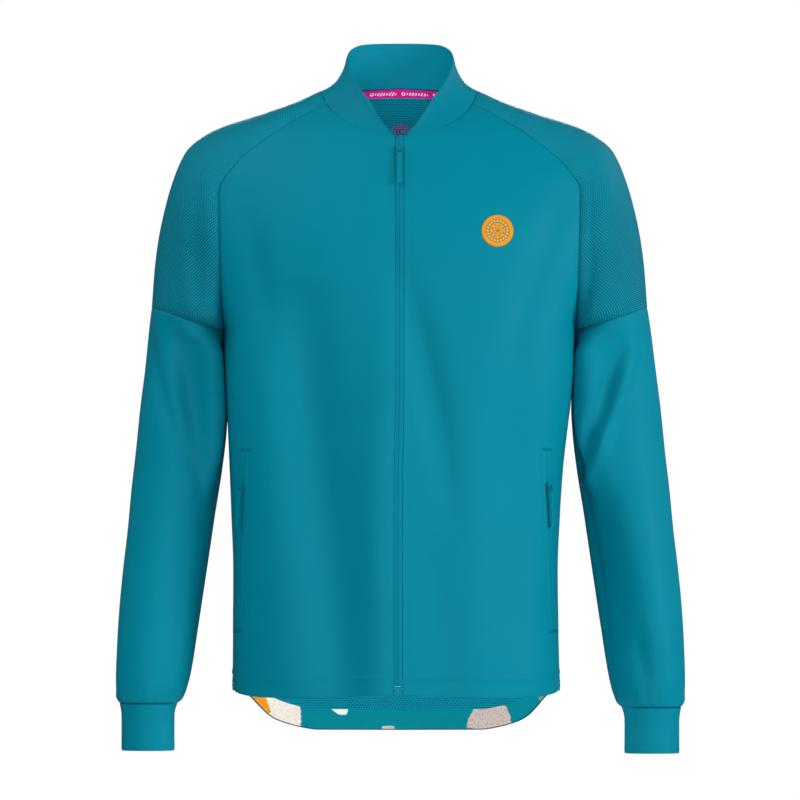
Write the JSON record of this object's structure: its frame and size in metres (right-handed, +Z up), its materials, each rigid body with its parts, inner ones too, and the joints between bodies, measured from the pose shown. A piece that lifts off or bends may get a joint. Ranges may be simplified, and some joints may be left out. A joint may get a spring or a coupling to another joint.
{
  "type": "track jacket",
  "caption": "Zipped raglan track jacket with a standing collar, perforated sleeves and back, zipped side pockets and a dropped back hem, shown as worn.",
  "frame": {"origin": "centre of the neck base at shoulder height, midway between the collar's two sides", "axes": "+Z up, front faces -Y, the wearer's left is +X"},
  "size_m": [0.6248, 0.2473, 0.7815],
  "materials": {
    "shell_fabric": "smooth close weave with a soft sheen",
    "mesh_knit": "matt perforated knit",
    "trim_knit": "matt fine knit",
    "neck_tape_weave": "woven tape",
    "printed_facing": "printed plain weave",
    "badge_print": "smooth printed patch",
    "zip_tape_and_coil": "woven tape with a nylon coil",
    "slider_enamel": "satin enamel"
  },
  "bodies": {
    "jacket": {"front_right": "shell_fabric", "front_left": "shell_fabric", "back": "mesh_knit", "upper_sleeve_right": "mesh_knit", "upper_sleeve_left": "mesh_knit", "lower_sleeve_right": "shell_fabric", "lower_sleeve_left": "shell_fabric", "cuff_right": "trim_knit", "cuff_left": "trim_knit", "collar": "trim_knit", "neck_tape": "neck_tape_weave", "hem_facing": "printed_facing", "chest_badge": "badge_print", "zip_side_right": "zip_tape_and_coil", "zip_side_left": "zip_tape_and_coil", "zip_slider": "slider_enamel", "zip_box": "slider_enamel", "pocket_welt_right": "zip_tape_and_coil", "pocket_welt_left": "zip_tape_and_coil", "pocket_slider_right": "slider_enamel", "pocket_slider_left": "slider_enamel"},
    "zip_pull": {"zip_pull": "slider_enamel"},
    "pocket_pull_right": {"pocket_pull_right": "slider_enamel"},
    "pocket_pull_left": {"pocket_pull_left": "slider_enamel"}
  },
  "joints": [
    {"name": "zip_pull_hinge", "type": "hinge", "parent": "jacket", "child": "zip_pull", "pos_m": [0, -0.07757, -0.0688], "axis": [-1, 0, 0], "range_deg": [0, 150]},
    {"name": "pocket_pull_right_hinge", "type": "hinge", "parent": "jacket", "child": "pocket_pull_right", "pos_m": [-0.17531, -0.07453, -0.43851], "axis": [-0.6043, 0.7764, 0.1789], "range_deg": [0, 150]},
    {"name": "pocket_pull_left_hinge", "type": "hinge", "parent": "jacket", "child": "pocket_pull_left", "pos_m": [0.16623, -0.07305, -0.43834], "axis": [-0.6051, -0.7795, -0.1624], "range_deg": [0, 150]}
  ]
}
